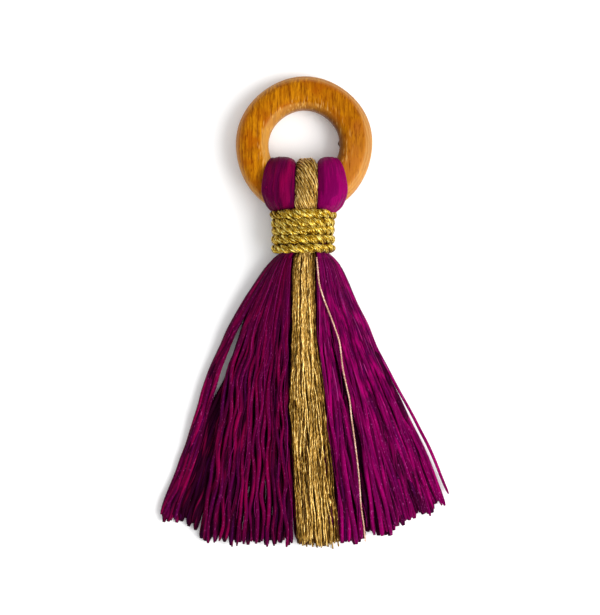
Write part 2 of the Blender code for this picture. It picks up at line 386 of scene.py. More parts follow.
def metallic_thread_finish(name, dark, mid, bright, pitch, depth, flicker, own, metal=0.5):
    """Fine metallised strip wound on a core.  flicker is how much it glints in short dashes, and own
    how much one thread is duller than the next."""
    finish = Finish(name)
    place = finish.node("ShaderNodeUVMap", {"uv_map": "strand"}, {})
    around = finish.node("ShaderNodeSeparateXYZ", {}, {"Vector": place}, output="X")
    along = finish.node("ShaderNodeSeparateXYZ", {}, {"Vector": place}, output="Y")
    tone = finish.node("ShaderNodeAttribute", {"attribute_name": "strand_tone"}, {}, output="Fac")
    angle = (around + along / (pitch * 4)) * math.tau
    dash_seat = finish.node("ShaderNodeCombineXYZ", {}, {
        "X": angle.sine() * 0.9, "Y": (angle + math.pi / 2).sine() * 0.9, "Z": along / pitch + tone * 80.0,
    })
    dash = finish.noise(dash_seat, 1.0, detail=3.0, roughness=0.65)
    slow_seat = finish.node("ShaderNodeCombineXYZ", {}, {"X": along / (9 * pitch), "Y": tone * 60.0})
    slow = finish.noise(slow_seat, 1.0, detail=1.0)
    dash_now, slow_now, tone_now = dash - 0.5, slow - 0.5, tone - 0.5
    # The foil's light is painted into its colour: shine runs in short dashes from the dark colour, painted
    # shade, to the middle one, and glint lays the bright colour on top as painted glints. A higher tone
    # gives more of both.
    shine = (dash_now * flicker + slow_now * 1.4 + tone_now * own + 0.52).clamped()
    glint = (dash_now * (1.7 * flicker) + slow_now * 1.5 + tone_now * own - 0.15).clamped()
    finish.surface(
        Base_Color=finish.mixed(glint, finish.mixed(shine, dark, mid), bright),
        Roughness=0.42 - glint * 0.14,
        Metallic=metal,
        Specular_IOR_Level=0.12,
        Normal=finish.bump(dash, depth, 1.0),
    )
    return finish.material


thread_line = evenly(through(THREAD_ROUTE[None], [20] * (len(THREAD_ROUTE) - 1)), THREAD_STEPS)
_, thread_side, thread_upper = axes_along(thread_line, (0, 0, 1))
thread_turn = travelled(thread_line)[..., None] / THREAD_PITCH * math.tau
thread_plies = np.concatenate([
    thread_line + (thread_side * np.cos(thread_turn + start) + thread_upper * np.sin(thread_turn + start))
    * THREAD_WIDTH * 0.23
    for start in (0.0, math.pi)
])
loose_thread = tubes(
    "loose_gold_thread", thread_plies, THREAD_WIDTH * 0.27, THREAD_WIDTH * 0.27, 8, seed=3
)
loose_thread.data.materials.append(metallic_thread_finish(
    "pink_gold_thread", paint(158, 104, 86), paint(246, 204, 172), paint(255, 244, 228),
    pitch=0.6 * MM, depth=0.05 * MM, flicker=3.4, own=0.3, metal=0.15,
))
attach(loose_thread, "root")
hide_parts("stray_thread")
float(travelled(thread_line)[0, -1])


# ---------------------------------------------------------------------------------------------
# The wooden ring.  Turned on a lathe from a plank of pale hardwood, so its grain runs straight
# across it, then stained honey and varnished.  It is a little out of round, with a small burr in its
# hole, and it carries the loops of yarn.
# ---------------------------------------------------------------------------------------------
RING_OUTER = (ring_high.x - ring_low.x) / 2
RING_HOLE = 10.4 * MM
RING_THICKNESS = 8.0 * MM
RING_SHOULDER = 2.8 * MM
RING_OVAL = 1.03            # how much longer it is along the tassel than across
RING_UP = 0.25 * MM         # keeps its lowest edge off the table
ring_middle = (RING_OUTER + RING_HOLE) / 2
ring_tilt = math.asin((ring_high.z - ring_low.z - RING_THICKNESS) / (2 * ring_middle))


def turned_ring():
    """The ring, spun level round the origin from one section with rounded shoulders."""
    start_by_hand()
    bpy.ops.mesh.primitive_plane_add(size=1.0, location=(ring_middle, 0, 0), rotation=(math.pi / 2, 0, 0))
    ring = bpy.context.active_object
    ring.name = "wooden_ring"
    ring.scale = (RING_OUTER - RING_HOLE, RING_THICKNESS, 1.0)
    bpy.ops.object.transform_apply(location=True, rotation=True, scale=True)
    bpy.ops.object.mode_set(mode="EDIT")
    bpy.ops.mesh.delete(type="ONLY_FACE")
    bpy.ops.mesh.select_all(action="SELECT")
    bpy.ops.mesh.bevel(
        offset=RING_SHOULDER, offset_type="OFFSET", segments=9, profile=0.38, affect="VERTICES"
    )
    bpy.ops.mesh.select_all(action="SELECT")
    # Spin lists the edges and faces in another order each run. The shape is the same.
    bpy.ops.mesh.spin(steps=180, angle=math.tau, center=(0, 0, 0), axis=(0, 0, 1))
    bpy.ops.mesh.select_all(action="SELECT")
    bpy.ops.mesh.remove_doubles(threshold=0.01 * MM)
    bpy.ops.mesh.normals_make_consistent(inside=False)
    bpy.ops.object.mode_set(mode="OBJECT")
    return ring


ring = turned_ring()
BURR_SIZE = 0.9 * MM
burr = Vector((RING_HOLE, 0.8 * MM, -0.6 * MM))
for vertex in ring.data.vertices:
    angle = math.atan2(vertex.co.y, vertex.co.x)
    near = math.exp(-((vertex.co - burr).length / BURR_SIZE) ** 4)
    uneven = 1 + 0.008 * math.sin(2 * angle + 0.6) + 0.005 * math.sin(5 * angle)
    vertex.co.x *= uneven * (1 - 0.06 * near)
    vertex.co.y *= uneven * RING_OVAL
ring.rotation_euler = (-ring_tilt, 0, 0)
ring.location = (RING_X, RING_Y, RING_Z + RING_UP)
bpy.ops.object.transform_apply(location=True, rotation=True, scale=True)
ring.data.shade_smooth()

wood = Finish("honey_varnished_wood")
wood_place = wood.node("ShaderNodeTexCoord", {}, {}, output="Object")
wood_x = wood.node("ShaderNodeSeparateXYZ", {}, {"Vector": wood_place}, output="X") - RING_X
wood_y = wood.node("ShaderNodeSeparateXYZ", {}, {"Vector": wood_place}, output="Y") - RING_Y
off_axis = (wood_x * wood_x + wood_y * wood_y).root()
grain_place = wood.node("ShaderNodeMapping", {}, {"Vector": wood_place, "Scale": (1700.0, 130.0, 600.0)})
grain = wood.noise(grain_place, 1.0, detail=4.0, roughness=0.7)
fleck_place = wood.node("ShaderNodeMapping", {}, {"Vector": wood_place, "Scale": (2200.0, 380.0, 1500.0)})
fleck = wood.noise(fleck_place, 1.0, detail=2.0)
cloud = wood.noise(wood_place, 190.0, detail=3.0)
scratch_place = wood.node("ShaderNodeMapping", {}, {"Vector": wood_place, "Scale": (2300.0, 240.0, 900.0)})
scratch = wood.noise(scratch_place, 1.0, detail=1.0)
honey = wood.mixed(((grain - 0.37) * 4.0).clamped(), paint(116, 58, 0), paint(190, 120, 6))
patchy = wood.mixed(((cloud - 0.45) * 5.0).clamped() * 0.8, honey, paint(152, 76, 0))
# Painted light: the wood is paler in cloudy patches towards the lower right, on the lamp's side. Painted
# shade: it is darker towards the right.
toward_low_right = (wood_x - wood_y * 0.7) / (16 * MM)
painted_light_low_right = (toward_low_right - 0.55 + (cloud - 0.5) * 1.2).clamped()
shaded = wood.mixed((wood_x / (24 * MM)).clamped() * 0.6, patchy, paint(130, 68, 0))
paler = wood.mixed(painted_light_low_right * 0.4, shaded, paint(196, 126, 54))
flecked = wood.mixed(((fleck - 0.58) * 8.0).clamped() * 0.7, paler, paint(104, 42, 0))
near_hole = ((14.6 * MM - off_axis) / (2.2 * MM)).clamped()
scratched = wood.mixed(((scratch - 0.58) * 9.0).clamped() * near_hole * 0.55, flecked, paint(226, 176, 100))
# A pale band round the outer edge, wider towards the lower right on the lamp's side; that extra width is
# painted light.
growth_rings = (off_axis * (math.tau / (0.8 * MM)) + cloud * 9.0).sine()
rim_reach = (toward_low_right - 0.3).clamped() * (1.5 * MM)
rim = ((off_axis - 18.7 * MM + rim_reach) / (1.0 * MM)).clamped() * (growth_rings * 0.12 + 0.36)
rimmed = wood.mixed(rim, scratched, paint(192, 152, 92))
wall = ((12.2 * MM - off_axis + (grain - 0.5) * 0.002) / (1.3 * MM)).clamped()
# Painted light: the inner edge of the hole is paler on the left, where it faces the lamp.
bevel = ((12.9 * MM - off_axis) / (0.7 * MM)).clamped() * (0.5 - wood_x / (24 * MM)).clamped() * 0.5
bevelled = wood.mixed(bevel, rimmed, paint(196, 150, 78))
# Painted shade: the wall of the hole is darker towards the right, where it faces away from the lamp.
painted_wall_shade = wall * (wood_x / (22 * MM) + 0.42).clamped() * 0.85
wall_shaded = wood.mixed(painted_wall_shade, bevelled, paint(92, 56, 24))
burr_off = wood.node(
    "ShaderNodeVectorMath",
    {"operation": "DISTANCE"},
    {0: wood_place, 1: (RING_X + RING_HOLE, RING_Y + burr.y, RING_Z + burr.z)},
    output="Value",
)
burr_dark = (1.7 - burr_off / BURR_SIZE + (grain - 0.5) * 2.0).clamped() * 0.85
wood.surface(
    Base_Color=wood.mixed(burr_dark, wall_shaded, paint(62, 30, 6)),
    Roughness=0.45,
    Specular_IOR_Level=0.12,
    Specular_Tint=paint(255, 186, 84),
    Coat_Weight=0.03,
    Coat_Roughness=0.3,
    Normal=wood.bump(grain + fleck * 0.5, 0.12 * MM, 0.9),
)
ring.data.materials.append(wood.material)
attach(ring, "root")
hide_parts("ring")


# ---------------------------------------------------------------------------------------------
# The two purple hanks.  Each is a bundle of soft shiny floss, laid over the ring and folded, so
# every strand runs from the hem up the front, round the ring and down the back.  The left one is
# twisted and wavy, the right one lies in flat ribbons.  The ends are cut off by eye.
# ---------------------------------------------------------------------------------------------
Fan = namedtuple("Fan", "down left gold_left gold_right right low high")
FAN = (
    # the outline of the yarn in mm: its sides, the gold band's sides, and its heights
    Fan(4.0, -11.4, -2.6, 4.2, 11.6, 0.0, 15.0),
    Fan(7.0, -12.3, -2.6, 4.2, 12.5, 0.0, 15.0),
    Fan(14.0, -12.3, -2.7, 4.1, 12.5, 0.0, 15.0),
    Fan(17.4, -11.1, -2.9, 3.9, 11.3, 0.0, 15.0),
    Fan(19.3, -9.4, -2.9, 3.7, 9.5, 1.8, 14.0),
    Fan(21.5, -6.8, -2.6, 3.4, 6.8, 2.8, 13.0),
    Fan(31.0, -6.6, -2.7, 3.5, 6.6, 2.8, 13.0),
    Fan(34.1, -10.3, -3.3, 3.4, 10.3, 1.8, 13.3),
    Fan(38.8, -13.8, -3.5, 3.3, 12.9, 0.4, 12.0),
    Fan(45.9, -18.5, -3.5, 3.4, 15.9, 0.0, 10.8),
    Fan(52.9, -22.3, -3.6, 3.6, 19.4, 0.0, 9.8),
    Fan(60.0, -25.6, -3.8, 4.2, 22.3, 0.0, 9.0),
    Fan(67.0, -28.8, -4.0, 5.0, 26.0, 0.0, 8.3),
    Fan(76.4, -31.5, -4.1, 6.2, 31.0, 0.0, 7.5),
    Fan(88.2, -35.4, -3.6, 7.4, 37.2, 0.0, 6.6),
    Fan(97.6, -38.6, -2.9, 8.5, 41.2, 0.0, 6.0),
    Fan(107.0, -42.6, -2.3, 9.6, 45.4, 0.0, 5.4),
    Fan(118.0, -45.4, -1.9, 10.5, 49.2, 0.0, 4.8),
)
FRINGE_TOP = 33.2
LOBE_BACK = 3.3             # how far the folded yarn stands off the ring behind
LOBE_TOP = 3.5              # where the fold ends inside the ring's hole
NECK_MIDDLE = 7.9
FRINGE_STATIONS = 22
STRAND_RADIUS = 0.66
LOOP_STRAND_RADIUS = 0.6
MID_STRANDS = 17            # those under the top ones, in each purple hank
LOW_STRANDS = 13            # those under the middle ones
STRAND_SPAN = 3             # pieces of a strand between two keys

Hank = namedtuple("Hank", "near far narrowing stand")
LEFT = Hank("gold_left", "left", 0.74, 3.9)
GOLD = Hank("gold_left", "gold_right", 1.0, 4.5)
RIGHT = Hank("gold_right", "right", 0.66, 3.9)


def outline(column, down):
    return np.interp(down, [row.down for row in FAN], [getattr(row, column) for row in FAN])


def across(hank, down, share, radius):
    """x in mm of strands at a share of the way from a hank's near side to its far side."""
    near, far = outline(hank.near, down), outline(hank.far, down)
    side = np.sign(far - near)
    return near + side * radius + (far - near - 2 * side * radius) * share


def ring_surface(x, down):
    """How far the ring's skin stands off its middle plane, in mm."""
    middle, half = ring_middle / MM, (RING_OUTER - RING_HOLE) / MM / 2
    off = np.clip(np.abs(np.hypot(x, down) - middle) / half, 0, 1)
    return RING_THICKNESS / MM / 2 * (1 - off**2.5) ** 0.4


def ring_plane(down):
    return RING_Z / MM + down * math.tan(ring_tilt)


def fringe_keys(hank, shares, depth, tips, radius, waves):
    """Keys from under the binding to the cut ends.  shares is (strands, stations)."""
    t = np.linspace(0, 1, FRINGE_STATIONS)[None, :] ** 1.15
    down = FRINGE_TOP + (tips[:, None] - FRINGE_TOP) * t
    x = across(hank, down, shares, radius)
    edge = np.where(x < 0, outline("left", down), outline("right", down))
    high = outline("high", down) * (1 - 0.58 * np.abs(x / edge) ** 2.2)
    low = outline("low", down)
    z = low + radius + (high - low - 2 * radius) * depth
    free = np.clip((down - 38) / 25, 0, 1)
    sway, lift = waves(down)
    x = x + free * sway
    z = np.maximum(z + free * lift, radius)
    return np.stack([x, down, z], axis=-1)


def neck_keys(hank, share, depth):
    keys = []
    for down in (30.8, 26.2, 21.9):
        x = across(hank, down, share, 0.4)
        edge = outline("right", down)
        z = NECK_MIDDLE + 4.9 * np.sqrt(np.clip(1 - (x / edge) ** 2, 0, 1)) * depth
        keys.append(np.stack([x, np.full_like(x, down), z], axis=-1))
    return np.stack(keys, axis=1)


def loop_keys(hank, share, layer, radius, front):
    """Keys from the binding's upper edge, up over the ring, to the middle of its hole.  share and
    layer may change from key to key."""
    share = np.broadcast_to(share, (len(share), 7)).T
    layer = np.broadcast_to(layer, (len(layer), 7)).T
    sign = 1 if front else -1
    stand = hank.stand if front else LOBE_BACK

    def off_the_ring(x, down, key):
        crown = 1 - 0.35 * (2 * share[key] - 1) ** 2
        return ring_surface(x, down) + radius + (stand - 2 * radius) * layer[key] * crown

    keys = []
    for key, down in enumerate((19.4, 17.4, 14.0)):
        x = across(hank, down, share[key], radius)
        sunk = 0.9 * layer[key] if key == 0 else 0.0
        keys.append((x, np.full_like(x, down), off_the_ring(x, down, key) - sunk))
    for key, (t, inward) in enumerate(((0.62, 0.12), (0.25, 0.45), (0.06, 0.8), (0.0, 1.0)), 3):
        x_wide = across(hank, 14.0, share[key], radius)
        beside = outline(hank.near, 7.0)
        x_hole = beside + (across(hank, 7.0, share[key], radius) - beside) * hank.narrowing
        rim = np.sqrt(np.maximum((RING_HOLE / MM) ** 2 - x_hole**2, 0)) - radius
        top = LOBE_TOP + radius + 1.4 * np.abs(2 * share[key] - 1) ** 3
        top = np.minimum(top, np.maximum(rim, 2.6))
        hole_down = top + (1 - layer[key]) * np.maximum(rim - top, 0)
        down = hole_down + (14.0 - hole_down) * t
        height = off_the_ring(x_wide, 14.0, key) * (1 - (1 - t) ** 2.3) ** (1 / 2.3)
        keys.append((x_wide + (x_hole - x_wide) * inward, down, height))
    if not front:
        keys.pop()
    points = [
        np.stack([x, down, np.maximum(ring_plane(down) + sign * height, radius)], axis=-1)
        for x, down, height in keys
    ]
    return np.stack(points, axis=1)


def folded(front_fringe, front_neck, front_loop, back_loop, back_neck, back_fringe):
    """Whole strands, from the front ends to the back ends."""
    return np.concatenate([
        front_fringe[:, ::-1], front_neck, front_loop,
        back_loop[:, ::-1], back_neck[:, ::-1], back_fringe,
    ], axis=1)


def placed(points):
    """World places of points given as x, down and height in mm."""
    return np.stack([
        RING_X + points[..., 0] * MM, RING_Y - points[..., 1] * MM, points[..., 2] * MM
    ], axis=-1)


def swaying(rng, amounts, sizes, lengths, lifts):
    """Waves of a few sizes and lengths, with other phases in every strand."""
    count = (len(amounts), 1)
    parts = []
    for size, length, lift in zip(sizes, lengths, lifts):
        parts.append((
            size * amounts[:, None] * rng.uniform(0.6, 1.4, count), length * rng.uniform(0.75, 1.3, count),
            rng.uniform(0, math.tau, count), lift, rng.uniform(0, math.tau, count),
        ))

    def waves(down):
        sway = sum(size * np.sin(down / length * math.tau + phase) for size, length, phase, _, _ in parts)
        up = sum(
            lift * np.sin(down / length * math.tau * 0.8 + other) for _, length, _, lift, other in parts
        )
        return sway, up

    return waves


def floss_finish(name, dark, mid, bright, glint_colour, twist):
    """Untwisted silky filaments: fine streaks along the strand, painted highlights and tiny painted
    glints.  The lower a strand's tone, the deeper in the hank it lies and the more of it is dark: painted
    shade."""
    finish = Finish(name)
    place = finish.node("ShaderNodeUVMap", {"uv_map": "strand"}, {})
    around = finish.node("ShaderNodeSeparateXYZ", {}, {"Vector": place}, output="X")
    along = finish.node("ShaderNodeSeparateXYZ", {}, {"Vector": place}, output="Y")
    tone = finish.node("ShaderNodeAttribute", {"attribute_name": "strand_tone"}, {}, output="Fac")
    angle = (around + along * twist) * math.tau
    across_x, across_y = angle.sine(), (angle + math.pi / 2).sine()
    seat = finish.node("ShaderNodeCombineXYZ", {}, {
        "X": across_x * 1.7, "Y": across_y * 1.7, "Z": along * 50.0 + tone * 90.0,
    })
    streak = finish.noise(seat, 1.0, detail=4.0, roughness=0.7)
    patch_seat = finish.node("ShaderNodeCombineXYZ", {}, {
        "X": across_x * 0.7, "Y": across_y * 0.7, "Z": along * 90.0 + tone * 70.0,
    })
    patch = finish.noise(patch_seat, 1.0, detail=1.0)
    glint_seat = finish.node("ShaderNodeCombineXYZ", {}, {
        "X": across_x * 2.4, "Y": across_y * 2.4, "Z": along * 1500.0 + tone * 300.0,
    })
    glint_noise = finish.noise(glint_seat, 1.0, detail=0.0)
    # Painted shade: a lower tone, deeper in the hank, mixes in more of the dark colour.
    base = finish.mixed(((streak - 0.32) * 3.0 + (tone - 0.5) * 1.8).clamped(), dark, mid)
    # Painted highlights: patches of the bright colour along the strand, more of them at a higher tone.
    lit = finish.mixed(((patch - 0.55) * 4.0 + tone * 0.5).clamped() * 0.75, base, bright)
    violet = finish.mixed(((0.42 - patch) * 6.0).clamped() * 0.25, lit, paint(84, 0, 84))
    object_place = finish.node("ShaderNodeTexCoord", {}, {}, output="Object")
    down = RING_Y - finish.node("ShaderNodeSeparateXYZ", {}, {"Vector": object_place}, output="Y")
    below_binding = (down / (4 * MM) - FRINGE_TOP / 4).clamped()
    # Painted glints below the binding, fewer on low-toned strands.
    glinting = ((glint_noise - 0.71) * 12.0).clamped() * (tone * 0.6).clamped() * below_binding
    finish.surface(
        Base_Color=finish.mixed(glinting, violet, glint_colour),
        Roughness=0.5,
        Specular_IOR_Level=0.06,
        Specular_Tint=paint(255, 120, 215),
        Normal=finish.bump(streak, 0.3 * MM, 1.0),
    )
    return finish.material


def purple_hank(
    name, hank, seed, ribbon, outer, hank_tone, lobe_tone, hollow, closing_from, tops, under,
    tips_share, tips_down, waves_of, finish
):
    """One hank of floss.  tops holds the shares of the strands that lie on top of the front, half way
    down and at the hem, and under does the same for the ones below, as points to spread them by.
    ribbon is how flat a strand lies in the fringe.  outer is the share past which the top strands are
    outer ones, and their size.  hank_tone is added to the tones high and low in the fringe, darker as
    painted shade and lighter as painted light, and lobe_tone is the tone over the ring, set higher in the
    hank on the lamp's side as painted light.  Lower strands with a share inside hollow lie deep.
    closing_from is where the lower strands turn towards their hem shares, and over what length.
    tips_down is how far down the strands end at each of tips_share."""
    rng = np.random.default_rng(seed)
    top_count, mid_count, low_count = len(tops[0]), MID_STRANDS, LOW_STRANDS
    count = top_count + mid_count + low_count
    level = np.repeat((1.0, 0.5, 0.0), (top_count, mid_count, low_count))

    def spread(number):
        return (np.arange(number) + rng.uniform(0.28, 0.72, number)) / number

    even = np.concatenate([spread(mid_count), spread(low_count)])
    share_loop = np.concatenate([(np.arange(top_count) + 0.5) / top_count, even * 1.12 - 0.12])
    share_mid = np.concatenate([tops[0], np.interp(even, *under[:2])])
    share_hem = np.concatenate([tops[1], np.interp(even, under[0], under[2])])
    share_mid = share_mid + rng.uniform(-0.008, 0.008, count) * (share_hem < 0.87)
    t = np.linspace(0, 1, FRINGE_STATIONS)[None, :] ** 1.15
    opening = np.clip(t / 0.28, 0, 1)
    late = np.clip((t - 0.35) / 0.65, 0, 1)
    early = np.clip((t - closing_from[0]) / closing_from[1], 0, 1)

    def shares(start, middle, hem, closing):
        start, middle, hem = start[:, None], middle[:, None], hem[:, None]
        return start * (1 - opening) + opening * (middle * (1 - closing) + hem * closing)

    tips = np.interp(share_hem, tips_share, tips_down) + rng.normal(0, 0.55, count)
    depth = np.repeat((0.95, 0.74, 0.54), (top_count, mid_count, low_count))
    sunken = (level < 1) & (share_hem > hollow[0]) & (share_hem < hollow[1])
    depth = (depth + rng.uniform(-0.05, 0.05, count)) * np.where(sunken, 0.5, 1.0)
    closing = np.where(level[:, None] == 1, late ** np.where(share_hem > 0.9, 2.6, 1.0)[:, None], early)
    front = fringe_keys(
        hank, shares(share_loop, share_mid, share_hem, closing), depth[:, None], tips, STRAND_RADIUS,
        waves_of(rng, share_hem),
    )
    behind = np.clip(share_loop + rng.normal(0, 0.02, count), 0, 1)
    behind_mid, behind_hem = np.interp(behind, *under[:2]), np.interp(behind, under[0], under[2])
    behind_tips = np.interp(behind_hem, tips_share, tips_down) + rng.normal(-0.9, 0.6, count)
    behind_depth = np.repeat((0.0, 0.18, 0.36), (top_count, mid_count, low_count))
    back = fringe_keys(
        hank, shares(share_loop, behind_mid, behind_hem, early), behind_depth[:, None], behind_tips,
        STRAND_RADIUS, waves_of(rng, behind_hem),
    )
    neck_depth = 0.35 + 0.6 * level
    keys = folded(
        front,
        neck_keys(hank, share_loop, neck_depth),
        loop_keys(hank, share_loop[:, None], level[:, None], LOOP_STRAND_RADIUS, True),
        loop_keys(hank, share_loop[:, None], level[:, None], LOOP_STRAND_RADIUS, False),
        neck_keys(hank, share_loop, -neck_depth),
        back,
    )
    lines = through(placed(keys), [STRAND_SPAN] * (keys.shape[1] - 1))
    down = (RING_Y - lines[..., 1]) / MM
    plump = np.interp(down, (4, 17, 21, 31, 36, 52), (0.82, 0.82, 0.5, 0.42, 0.55, 0.66))
    gone = travelled(lines) / MM
    behind_half = gone > gone[:, -1:] / 2
    outer_from, outer_size = outer
    size = rng.uniform(0.66, 0.98, (count, 1)) * np.where(share_hem > outer_from, outer_size, 1.0)[:, None]
    size = np.where(behind_half | (level[:, None] < 1), 1.25, size)
    size = np.where(down > 36, size, 1.0)
    to_end = np.minimum(gone, gone[:, -1:] - gone)
    plump = plump * size * np.interp(to_end, (0, 0.7, 3.0), (0.5, 0.82, 1.0)) * MM
    in_lobe = np.interp(down, (17, 23), (1.0, 0.0))
    lobe_ribbon = 1 + in_lobe * (0.75 - 0.75 * np.abs(2 * share_loop - 1) ** 3)[:, None]
    wide = np.interp(down, (31, 45), (1.0, ribbon)) * plump * lobe_ribbon
    thin = np.interp(down, (31, 45), (1.0, 1 / ribbon)) * plump
    roll = 0.45 * np.sin(gone / rng.uniform(9, 16, (count, 1)) + rng.uniform(0, math.tau, (count, 1)))
    roll = roll * (1 - 0.85 * in_lobe)
    own_tone = rng.uniform(-0.5, 0.5, (count, 1))
    layers = (top_count, mid_count, low_count)
    # Painted shade: deeper layers get lower tones, which the finish paints darker, and sunken strands lower
    # still.
    painted_depth_tone = np.repeat((0.56, 0.18, 0.0), layers) * np.where(sunken, 0.1, 1.0)
    tone_range = np.repeat((0.4, 0.2, 0.1), layers)
    fringe_tone = (painted_depth_tone + own_tone[:, 0] * tone_range)[:, None] + np.interp(down, (40, 75), hank_tone)
    tones = fringe_tone + (lobe_tone + 0.02 * own_tone - fringe_tone) * np.interp(down, (21, 25), (1.0, 0.0))
    piece = tubes(name, lines, wide, thin, 8, roll=roll, tones=tones, atlas_rows=3)
    piece.data.materials.append(finish)
    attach(piece, "root")
    return piece


def left_waves(rng, share):
    return swaying(rng, np.where(share > 0.86, 0.3, 1.0), (0.38, 0.13), (21.0, 11.0), (0.4, 0.15))


def right_waves(rng, share):
    return swaying(rng, np.where(share > 0.8, 0.35, 1.0), (0.5, 0.16), (52.0, 17.0), (0.5, 0.15))


left_hank = purple_hank(
    name="purple_hank_left",
    hank=LEFT,
    seed=11,
    ribbon=1.05,
    outer=(0.86, 1.25),
    hank_tone=(0.0, 0.0),
    lobe_tone=0.6,
    hollow=(0.62, 0.89),
    closing_from=(0.46, 0.16),
    tops=(
        (*np.linspace(0.03, 0.765, 16), *np.linspace(0.89, 1.0, 5)),
        (*np.linspace(0.02, 0.65, 16), *np.linspace(0.89, 1.0, 5)),
    ),
    under=(
        (0.0, 0.36, 0.80, 0.86, 0.861, 1.0),
        (-0.1, 0.46, 0.72, 0.765, 0.90, 0.98),
        (-0.08, 0.44, 0.84, 0.90, 0.90, 0.98),
    ),
    tips_share=(0.0, 0.3, 0.5, 0.6, 0.66, 0.69, 0.72, 0.85, 0.9, 1.0),
    tips_down=(117.4, 117.2, 116.8, 116.2, 115.7, 115.0, 112.2, 110.8, 110.5, 109.0),
    waves_of=left_waves,
    finish=floss_finish(
        "wavy_purple_floss", paint(30, 0, 16), paint(86, 0, 50), paint(136, 0, 62),
        paint(190, 70, 150), twist=12.0,
    ),
)
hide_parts("hank_purple_left")
right_hank = purple_hank(
    name="purple_hank_right",
    hank=RIGHT,
    seed=12,
    ribbon=1.2,
    outer=(0.86, 0.85),
    hank_tone=(-0.12, 0.06),
    lobe_tone=0.86,
    hollow=(0.15, 0.32),
    closing_from=(0.56, 0.40),
    tops=(
        (*np.linspace(0.02, 0.19, 6), *np.linspace(0.33, 0.86, 17), 0.88, 0.905, 0.94, 1.00),
        (*np.linspace(0.02, 0.17, 6), *np.linspace(0.29, 0.85, 17), 0.87, 0.89, 0.915, 1.00),
    ),
    under=(
        (0.0, 0.5, 1.0),
        (-0.14, 0.45, 0.95),
        (-0.1, 0.42, 0.89),
    ),
    tips_share=(
        0.04, 0.10, 0.19, 0.22, 0.385, 0.45, 0.53, 0.58, 0.64, 0.79, 0.82, 0.88, 0.915, 0.96, 1.0,
    ),
    tips_down=(
        116.1, 116.7, 115.5, 114.3, 114.4, 112.3, 111.4, 110.4, 108.0, 108.6, 105.8, 104.2, 106.2,
        104.0, 102.3,
    ),
    waves_of=right_waves,
    # A lighter copy of the left hank's colours: painted light, on the lamp's side.
    finish=floss_finish(
        "flat_purple_floss", paint(38, 0, 22), paint(106, 0, 68), paint(152, 0, 92),
        paint(214, 90, 180), twist=4.0,
    ),
)
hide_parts("hank_purple_right")


FILAMENTS_PER_HANK = 7
FILAMENT_RADIUS = 0.09 * MM


def loose_filaments():
    """Single fine filaments of the floss that have sprung out over the front of both hanks."""
    rng = np.random.default_rng(41)
    count = FILAMENTS_PER_HANK
    lines = []
    for hank, far_share in ((LEFT, 0.62), (RIGHT, 0.76)):
        start = (np.arange(count) + rng.uniform(0.2, 0.8, count)) / count * far_share
        t = np.linspace(0, 1, FRINGE_STATIONS)[None, :]
        shares = start[:, None] * (1 - 0.06 * t) + rng.normal(0, 0.025, (count, 1)) * t
        tips = 112.0 - 5.5 * start + rng.normal(0, 1.2, count)
        waves = swaying(rng, np.ones(count), (0.4, 0.15), (26.0, 12.0), (0.2, 0.1))
        keys = fringe_keys(hank, np.clip(shares, 0, 1), np.full((count, 1), 1.04), tips, 0.1, waves)
        lines.append(through(placed(keys), [STRAND_SPAN] * (keys.shape[1] - 1)))
    piece = tubes(
        "loose_filaments", np.concatenate(lines), FILAMENT_RADIUS, FILAMENT_RADIUS, 4,
        atlas_rows=2, seed=43,
    )
    piece.data.materials.append(floss_finish(
        "purple_filament", paint(70, 0, 42), paint(122, 4, 80), paint(150, 20, 108),
        paint(220, 120, 190), twist=30.0,
    ))
    return piece


filaments = loose_filaments()
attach(filaments, "root")


# ---------------------------------------------------------------------------------------------
# The gold hank.  Many thin crinkled metallic threads between the purple ones.  Over the ring they
# are twisted into one soft rope, so they slant there; below the binding they hang side by side.
# ---------------------------------------------------------------------------------------------
GOLD_COUNT = 88
GOLD_RADIUS = 0.24


def crinkled(lines, rng, sizes, lengths):
    """The lines with small waves to the side and up, as stiff metallic thread keeps."""
    _, side, upper = axes_along(lines, (0, 0, 1))
    gone = travelled(lines)
    made = lines.copy()
    for size, length in zip(sizes, lengths):
        for axis in (side, upper):
            phase = rng.uniform(0, math.tau, (len(lines), 1))
            own = length * rng.uniform(0.7, 1.4, (len(lines), 1))
            swing = np.sin(gone / own * math.tau + phase + 1.3 * np.sin(gone / own * 1.7 + phase))
            made += axis * (swing * size * rng.uniform(0.5, 1.3, (len(lines), 1)))[..., None]
    return made


